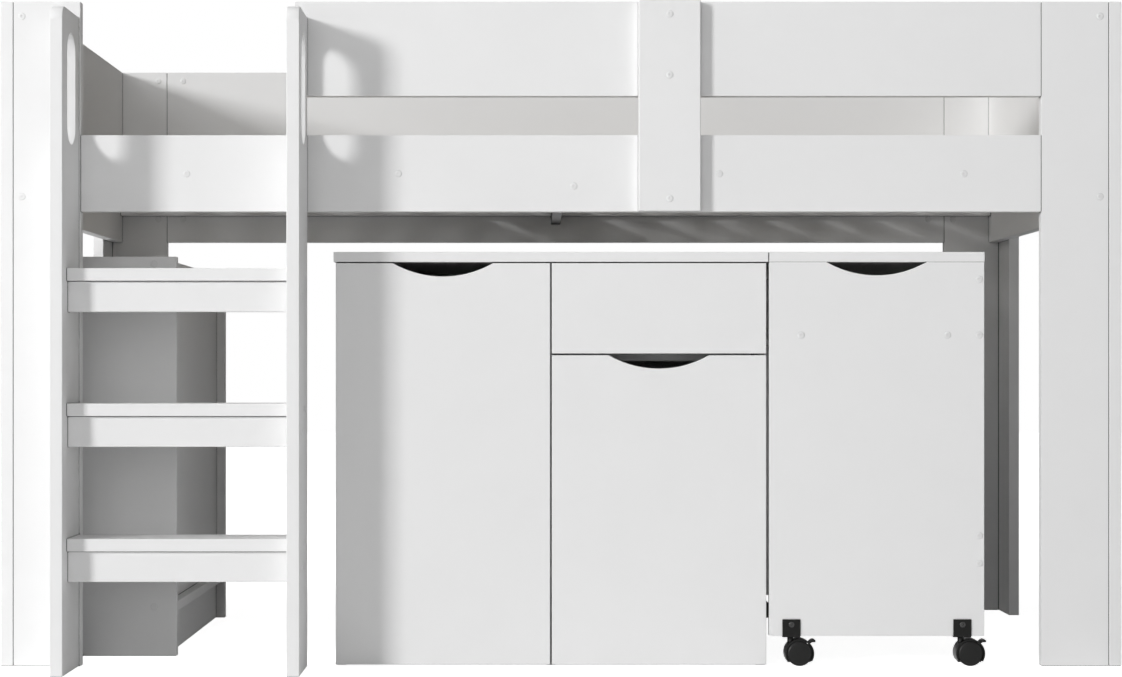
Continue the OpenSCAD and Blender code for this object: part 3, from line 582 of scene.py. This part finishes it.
def make_screw_tree():
    """Heads with a hexagonal socket, and shanks of each point's own length."""
    tree, given = new_geometry_tree("screws", {
        "Head Radius": "Float", "Head Height": "Float", "Socket Radius": "Float",
        "Socket Depth": "Float", "Shank Radius": "Float",
    })
    foot_height = add(
        tree, "ShaderNodeMath", {"operation": "MULTIPLY"}, i0=given["Head Height"], i1=FOOT_SHARE
    ).outputs["Value"]
    foot = add(
        tree, "GeometryNodeMeshCylinder", Vertices=HEAD_SIDES, Radius=given["Head Radius"],
        Depth=foot_height,
    )
    turned, top = foot.outputs["Mesh"], foot.outputs["Top"]
    for share, drawn_to in DOME_STEPS:
        rise = add(
            tree, "ShaderNodeMath", {"operation": "MULTIPLY"}, i0=given["Head Height"], i1=share
        )
        risen = add(
            tree, "GeometryNodeExtrudeMesh", Mesh=turned, Selection=top,
            Offset_Scale=rise.outputs["Value"], Individual=False,
        )
        top = risen.outputs["Top"]
        turned = add(
            tree, "GeometryNodeScaleElements", Geometry=risen.outputs["Mesh"], Selection=top,
            Scale=drawn_to,
        ).outputs["Geometry"]
    half_foot = add(tree, "ShaderNodeMath", {"operation": "MULTIPLY"}, i0=foot_height, i1=0.5)
    head = lifted(tree, turned, half_foot.outputs["Value"])
    plug_length = add(
        tree, "ShaderNodeMath", {"operation": "MULTIPLY_ADD"},
        i0=given["Socket Depth"], i1=2.0, i2=SOCKET_OVERRUN * 2,
    )
    plug = add(
        tree, "GeometryNodeMeshCylinder", Vertices=SOCKET_SIDES, Radius=given["Socket Radius"],
        Depth=plug_length.outputs["Value"],
    )
    plug_height = add(
        tree, "ShaderNodeMath", {"operation": "ADD"}, i0=given["Head Height"], i1=SOCKET_OVERRUN
    )
    raised_plug = lifted(tree, plug.outputs["Mesh"], plug_height.outputs["Value"])
    cut = add(tree, "GeometryNodeMeshBoolean", {"operation": "DIFFERENCE", "solver": "EXACT"})
    tree.links.new(head, cut.inputs["Mesh 1"])
    tree.links.new(raised_plug, cut.inputs["Mesh 2"])
    rod = add(
        tree, "GeometryNodeMeshCylinder", Vertices=SHANK_SIDES, Radius=given["Shank Radius"], Depth=1.0
    )
    outward = add(tree, "GeometryNodeInputNamedAttribute", {"data_type": "FLOAT_VECTOR"}, Name="outward")
    length = add(tree, "GeometryNodeInputNamedAttribute", {"data_type": "FLOAT"}, Name="length")
    turn = add(
        tree, "FunctionNodeAlignRotationToVector", {"axis": "Z"}, Vector=outward.outputs["Attribute"]
    ).outputs["Rotation"]
    heads = add(
        tree, "GeometryNodeInstanceOnPoints", Points=given["Geometry"], Instance=cut.outputs["Mesh"],
        Rotation=turn,
    )
    stretch = add(tree, "ShaderNodeCombineXYZ", X=1.0, Y=1.0, Z=length.outputs["Attribute"])
    shanks = add(
        tree, "GeometryNodeInstanceOnPoints", Points=given["Geometry"],
        Instance=lifted(tree, rod.outputs["Mesh"], -0.5), Rotation=turn, Scale=stretch.outputs["Vector"],
    )
    both = add(tree, "GeometryNodeJoinGeometry")
    tree.links.new(heads.outputs["Instances"], both.inputs["Geometry"])
    tree.links.new(shanks.outputs["Instances"], both.inputs["Geometry"])
    close_geometry_tree(tree, both.outputs["Geometry"], given["Material"])
    return tree


def screw_points(name, screws):
    """One point for each screw, with the way its head faces and its shank's length."""
    mesh = bpy.data.meshes.new(name)
    mesh.from_pydata([seat for seat, _, _ in screws], [], [])
    mesh.attributes.new("outward", "FLOAT_VECTOR", "POINT")
    mesh.attributes.new("length", "FLOAT", "POINT")
    for i, (seat, way, length) in enumerate(screws):
        mesh.attributes["outward"].data[i].vector = -way
        mesh.attributes["length"].data[i].value = length
    return mesh


# %% Screws in their boards
SCREW_SIZES = {
    "Head Radius": 6.25 * MM, "Head Height": 1.2 * MM, "Socket Radius": 1.9 * MM,
    "Socket Depth": 2.4 * MM, "Shank Radius": 2.5 * MM,
}
BRACKET_SIZES = dict(SCREW_SIZES, **{"Head Radius": 5.5 * MM, "Head Height": 3.0 * MM})
SHORT_SCREW = 20 * MM                   # only the screws of the castor angles are shorter
screw_tree = make_screw_tree()


def plant_screws(name, screws, sizes, material, node):
    """Grows a group of screws in place of those of a frame node."""
    piece = grow(name, screw_points(name, screws), screw_tree, dict(sizes, Material=material))
    piece.data.shade_smooth()
    piece.data.set_sharp_from_angle(angle=SHARP_ANGLE)
    finish_piece(piece, node, material)


panel_screws = [screw for screw in desk_screws if screw[2] > SHORT_SCREW]
bracket_screws = [screw for screw in desk_screws if screw[2] < SHORT_SCREW]
plant_screws("bed_frame_screws", frame_screws, SCREW_SIZES, enamel_white, "frame_screws")
plant_screws("desk_panel_screws", panel_screws, SCREW_SIZES, enamel_white, "desk_screws")
plant_screws("castor_angle_screws", bracket_screws, BRACKET_SIZES, oxide_black, "desk_screws")

# %% [markdown]
# ## Slats
#
# Sixteen planed slats carry the mattress. A planer leaves their long edges rounded
# to about two millimetres. The tree draws a rounded rectangle, sweeps it along a
# line as long as the slat, and repeats it at an even pitch. Count, pitch and sizes
# are read from the frame's own slats.

# %% Slats
SLAT_ROUND = 2.0 * MM
ROUND_STEPS = 4


def make_slat_tree():
    """A row of slats along x, each one swept along y."""
    tree, given = new_geometry_tree("slats", {
        "Count": "Int", "Pitch": "Float", "First Place": "Vector", "Width": "Float",
        "Thickness": "Float", "Length": "Float", "Edge Radius": "Float",
    })
    step = add(tree, "ShaderNodeCombineXYZ", X=given["Pitch"])
    row = add(
        tree, "GeometryNodeMeshLine", {"mode": "OFFSET"}, Count=given["Count"],
        Start_Location=given["First Place"], Offset=step.outputs["Vector"],
    )
    outline = add(
        tree, "GeometryNodeCurvePrimitiveQuadrilateral", Width=given["Width"], Height=given["Thickness"]
    )
    rounded = add(
        tree, "GeometryNodeFilletCurve", {"mode": "POLY"}, Curve=outline.outputs["Curve"],
        Count=ROUND_STEPS, Radius=given["Edge Radius"],
    )
    reach = add(tree, "ShaderNodeCombineXYZ", Z=given["Length"])
    line = add(tree, "GeometryNodeCurvePrimitiveLine", End=reach.outputs["Vector"])
    swept = add(
        tree, "GeometryNodeCurveToMesh", Curve=line.outputs["Curve"],
        Profile_Curve=rounded.outputs["Curve"], Fill_Caps=True,
    )
    laid = add(
        tree, "GeometryNodeTransform", Geometry=swept.outputs["Mesh"], Rotation=(-math.pi / 2, 0, 0)
    )
    copies = add(
        tree, "GeometryNodeInstanceOnPoints", Points=row.outputs["Mesh"],
        Instance=laid.outputs["Geometry"],
    )
    close_geometry_tree(tree, copies.outputs["Instances"], given["Material"])
    return tree


slat_boxes = sorted((corners(points) for points in islands("bed_slats")), key=lambda box: box[0].x)
first_low, first_high = slat_boxes[0]
slat_size = first_high - first_low
slats = grow("planed_slats", bpy.data.meshes.new("planed_slats"), make_slat_tree(), {
    "Count": len(slat_boxes),
    "Pitch": slat_boxes[1][0].x - first_low.x,
    "First Place": ((first_low.x + first_high.x) / 2, first_low.y, (first_low.z + first_high.z) / 2),
    "Width": slat_size.x,
    "Thickness": slat_size.z,
    "Length": slat_size.y,
    "Edge Radius": SLAT_ROUND,
    "Material": pine,
})
finish_piece(slats, "bed_slats", pine)
slats_low, slats_high = corners([vert.co for vert in slats.data.vertices])
print("slats span", [round(v, 4) for v in slats_low], [round(v, 4) for v in slats_high])

# %% [markdown]
# ## Castor wheels
#
# Each castor has twin wheels. From the side one shows a flat nylon disc with a
# bright bevel round it, then a dull tread. Such a wheel is moulded to a turned
# shape, so it is made as one here: a profile of radii and widths is carried round
# the axle, and closed over the axle's end.

# %% Castor wheels
WHEEL_STEPS = 72
AXLE_HOLE, AXLE_END = 2.55, 16.6        # millimetres, as all the profile's numbers
WHEEL_INNER, WHEEL_OUTER, WHEEL_R = 6.2, 17.0, 22.5
WHEEL_PROFILE = [                       # radius, distance from the castor's middle, is it tread
    (0, WHEEL_OUTER, False), (18.4, WHEEL_OUTER, False), (19.2, WHEEL_OUTER - 0.2, False),
    (20.8, WHEEL_OUTER - 1.5, False), (21.2, WHEEL_OUTER - 1.6, True),
    (22.0, WHEEL_OUTER - 1.8, True), (22.4, WHEEL_OUTER - 2.6, True),
    (WHEEL_R, WHEEL_OUTER - 3.6, True), (WHEEL_R, WHEEL_INNER + 1.6, True),
    (22.3, WHEEL_INNER + 0.7, True), (21.6, WHEEL_INNER, True), (20.6, WHEEL_INNER, False),
    (AXLE_HOLE, WHEEL_INNER, False), (AXLE_HOLE, AXLE_END, False), (0, AXLE_END, False),
]


def turn_profile(work, profile, centre, side):
    """Carries a profile round the y axis through a centre. side is 1 or -1 along y."""
    rings = []
    for radius, along, _ in profile:
        steps = WHEEL_STEPS if radius else 1
        turns = [i * math.tau / steps for i in range(steps)]
        spots = [Vector((radius * math.cos(t), side * along, radius * math.sin(t))) for t in turns]
        rings.append([work.verts.new(centre + spot * MM) for spot in spots])
    for one, two, (_, _, is_tread) in zip(rings, rings[1:], profile):
        for i in range(WHEEL_STEPS):
            j = (i + 1) % WHEEL_STEPS
            ring = [one[i % len(one)], one[j % len(one)], two[j % len(two)], two[i % len(two)]]
            face = work.faces.new(list(dict.fromkeys(ring)))
            face.material_index = 1 if is_tread else 0
            face.smooth = True


for node in [node for node in frame["nodes"] if node.startswith("castor_wheels_")]:
    low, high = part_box(node)
    mesh = bpy.data.meshes.new(node + "_turned")
    work = bmesh.new()
    for side in (1, -1):
        turn_profile(work, WHEEL_PROFILE, (low + high) / 2, side)
    bmesh.ops.recalc_face_normals(work, faces=work.faces)
    work.to_mesh(mesh)
    work.free()
    mesh.set_sharp_from_angle(angle=SHARP_ANGLE)
    wheels = bpy.data.objects.new(node + "_turned", mesh)
    bpy.context.scene.collection.objects.link(wheels)
    finish_piece(wheels, node, nylon_black)
    mesh.materials.append(tread_black)
    print(wheels.name, "has", len(mesh.polygons), "faces")

# %% [markdown]
# ## Castor hoods
#
# The hood is one moulding: a hoop over both wheels, a web between them and a block
# round the stem. It keeps the frame's shape, and because moulded nylon has no sharp
# edge, all its edges get a radius of half a millimetre.

# %% Hoods
MOULDED_RADIUS = 0.5 * MM
hoods = [node for node in frame["nodes"] if node.startswith("castor_housing_")]
for node in hoods:
    finish_piece(ease_edges(clean_copy(node), MOULDED_RADIUS), node, nylon_black)
print("castor hoods:", len(hoods))

# %% [markdown]
# ## Brake levers
#
# A short toe lever brakes each front castor. It is a bar as wide as its slot in the
# hood, which leaves the slot at a slope, swells, and levels out to a round toe. Its
# side view is a row of circles that grow along a curve, so the outline is the line
# round them all: out along one side, round the toe, and back along the other. The
# outline is then carried across the lever's width.

# %% Brake levers
LEVER_ROW = [                           # millimetres from the pivot: x, z and half thickness
    (0.0, 0.0, 1.5), (2.4, 2.3, 1.5), (4.6, 3.9, 2.0), (7.0, 4.7, 2.4), (9.4, 4.5, 2.3),
]
LEVER_PIVOT = 1.6                       # millimetres from the node's lowest x and z to the pivot
END_STEPS = 8


def round_end(centre, way, radius):
    """Points of the half circle that closes the outline at one end of the row."""
    start = math.atan2(way.y, way.x) + math.pi / 2
    turns = [start - math.pi * i / END_STEPS for i in range(1, END_STEPS)]
    return [centre + Vector((math.cos(t), math.sin(t))) * radius for t in turns]


def lever_outline(row):
    """The outline round a row of circles, as points in x and z."""
    centres = [Vector(step[:2]) for step in row]
    radii = [step[2] for step in row]
    ways = [(b - a).normalized() for a, b in zip(centres, centres[1:])]
    ways.append(ways[-1])
    left = [c + Vector((-way.y, way.x)) * r for c, way, r in zip(centres, ways, radii)]
    right = [c - Vector((-way.y, way.x)) * r for c, way, r in zip(centres, ways, radii)]
    toe = round_end(centres[-1], ways[-1], radii[-1])
    heel = round_end(centres[0], -ways[0], radii[0])
    return left + toe + right[::-1] + heel


for node in [node for node in frame["nodes"] if node.startswith("brake_lever_")]:
    low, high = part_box(node)
    pivot = Vector((low.x, 0, low.z)) + Vector((LEVER_PIVOT, 0, LEVER_PIVOT)) * MM
    work = bmesh.new()
    side = [pivot + Vector((x, 0, z)) * MM for x, z in lever_outline(LEVER_ROW)]
    face = work.faces.new([work.verts.new((p.x, low.y, p.z)) for p in side])
    across = bmesh.ops.extrude_face_region(work, geom=[face])["geom"]
    moved = [item for item in across if isinstance(item, bmesh.types.BMVert)]
    bmesh.ops.translate(work, verts=moved, vec=(0, high.y - low.y, 0))
    bmesh.ops.recalc_face_normals(work, faces=work.faces)
    weight = work.edges.layers.float.new("bevel_weight_edge")
    for edge in work.edges:
        edge[weight] = 1.0 if edge.calc_face_angle() > SHARP_ANGLE else 0.0
    for face in work.faces:
        face.smooth = len(face.verts) == 4
    mesh = bpy.data.meshes.new(node + "_moulded")
    work.to_mesh(mesh)
    work.free()
    lever = bpy.data.objects.new(node + "_moulded", mesh)
    bpy.context.scene.collection.objects.link(lever)
    finish_piece(ease_edges(lever, MOULDED_RADIUS), node, nylon_black)
    print(lever.name, "rides on", body_of[node])

# %% [markdown]
# ## Floor and backdrop
#
# The picture has a pure white ground. A large floor sheet catches the object's
# shadow: it glows a little less than white to the camera and to reflections, and
# the lamps' light on it fills the rest, so that only the shadow stays below
# white. The world is white to the camera in the same way, and nearly dark as a
# light, because the lamps do the lighting.

# %% Stage
PURE_WHITE, FLOOR_PALE = "#FFFFFF", "#F4F4F4"
FLOOR_SIZE = 30.0
FLOOR_GLOW = 0.9                        # under and round the bed
GLOW_NEAR, GLOW_FAR = 1.2, 3.0          # metres from the middle over which it rises to 1
AMBIENT = 0.03                          # the world's strength as a light


def seen_directly(tree):
    """1 on camera rays, reflections and rays through glass, and 0 once light has scattered."""
    path = add(tree, "ShaderNodeLightPath")
    camera_or_gloss = add(
        tree, "ShaderNodeMath", {"operation": "MAXIMUM"},
        i0=path.outputs["Is Camera Ray"], i1=path.outputs["Is Glossy Ray"],
    )
    any_of_them = add(
        tree, "ShaderNodeMath", {"operation": "MAXIMUM"},
        i0=camera_or_gloss.outputs["Value"], i1=path.outputs["Is Transmission Ray"],
    )
    unscattered = add(
        tree, "ShaderNodeMath", {"operation": "LESS_THAN"}, i0=path.outputs["Diffuse Depth"], i1=0.5
    )
    return add(
        tree, "ShaderNodeMath", {"operation": "MULTIPLY"},
        i0=any_of_them.outputs["Value"], i1=unscattered.outputs["Value"],
    ).outputs["Value"]


def make_floor():
    """A pale floor that the camera sees as white but that still takes a shadow."""
    half = FLOOR_SIZE / 2
    mesh = bpy.data.meshes.new("floor")
    mesh.from_pydata(
        [(-half, -half, 0), (half, -half, 0), (half, half, 0), (-half, half, 0)], [], [(0, 1, 2, 3)]
    )
    floor = bpy.data.objects.new("floor", mesh)
    bpy.context.scene.collection.objects.link(floor)
    made, tree, shader = new_material("pale_studio_floor", FLOOR_PALE, roughness=0.9, specular=0.1)
    spot = add(tree, "ShaderNodeTexCoord").outputs["Object"]
    away = add(tree, "ShaderNodeVectorMath", {"operation": "LENGTH"}, Vector=spot)
    rise = add(
        tree, "ShaderNodeMapRange", Value=away.outputs["Value"], From_Min=GLOW_NEAR, From_Max=GLOW_FAR,
        To_Min=FLOOR_GLOW, To_Max=1.0,
    )
    glow = add(
        tree, "ShaderNodeMath", {"operation": "MULTIPLY"},
        i0=seen_directly(tree), i1=rise.outputs["Result"],
    )
    shader.inputs["Emission Color"].default_value = linear(PURE_WHITE)
    tree.links.new(glow.outputs["Value"], shader.inputs["Emission Strength"])
    mesh.materials.append(made)


def make_world():
    """A world that is white to look at and gives little light."""
    world = bpy.data.worlds.new("studio")
    bpy.context.scene.world = world
    world.use_nodes = True
    tree = world.node_tree
    tree.nodes.clear()
    level = add(tree, "ShaderNodeMapRange", Value=seen_directly(tree), To_Min=AMBIENT, To_Max=1.0)
    back = add(tree, "ShaderNodeBackground", Color=linear(PURE_WHITE), Strength=level.outputs["Result"])
    add(tree, "ShaderNodeOutputWorld", Surface=back.outputs["Background"])


make_floor()
make_world()
print("floor:", FLOOR_SIZE, "m wide, world at", AMBIENT, "as a light")

# %% [markdown]
# ## Lamps
#
# The key is one strong lamp, far away to the left front and low. Seen from the bed
# it is fairly small, so the hand slots throw soft-edged light patches on the rails,
# and the guard's gap a stripe on the right end panel. Four weak panels, above, in
# front, at the right and at the upper left, fill the rest. All face the middle of
# the bed's front, and together they leave the white board just under pure white.

# %% Lamps
KEY_WAY = Vector((-1.11, -1.0, 0.395))  # from the bed towards the key lamp
KEY_DISTANCE = 16.0
front_middle = Vector((0, front_y, 0.6))
LAMPS = {                               # from front_middle, width in metres, watts
    "key": (KEY_WAY.normalized() * KEY_DISTANCE, 2.4, 1480),
    "top_panel": (Vector((-0.6, -2.2, 4.0)), 3.0, 23),
    "front_panel": (Vector((-0.6, -5.0, 1.2)), 2.5, 40),
    "right_panel": (Vector((5.0, -3.0, 1.0)), 2.5, 26),
    "upper_left_panel": (Vector((-4.0, -0.5, 3.4)), 2.0, 63),
}


def area_lamp(name, offset, width, watts):
    """A square lamp at an offset from the middle of the bed's front, which it faces."""
    data = bpy.data.lights.new(name, "AREA")
    data.shape = "SQUARE"
    data.size = width
    data.energy = watts
    lamp = bpy.data.objects.new(name, data)
    lamp.location = front_middle + offset
    lamp.rotation_euler = (-offset).to_track_quat("-Z", "Y").to_euler()
    bpy.context.scene.collection.objects.link(lamp)
    print(name, "at", [round(v, 2) for v in lamp.location])


for name, (offset, width, watts) in LAMPS.items():
    area_lamp(name, offset, width, watts)
bpy.context.scene.view_settings.view_transform = "Standard"
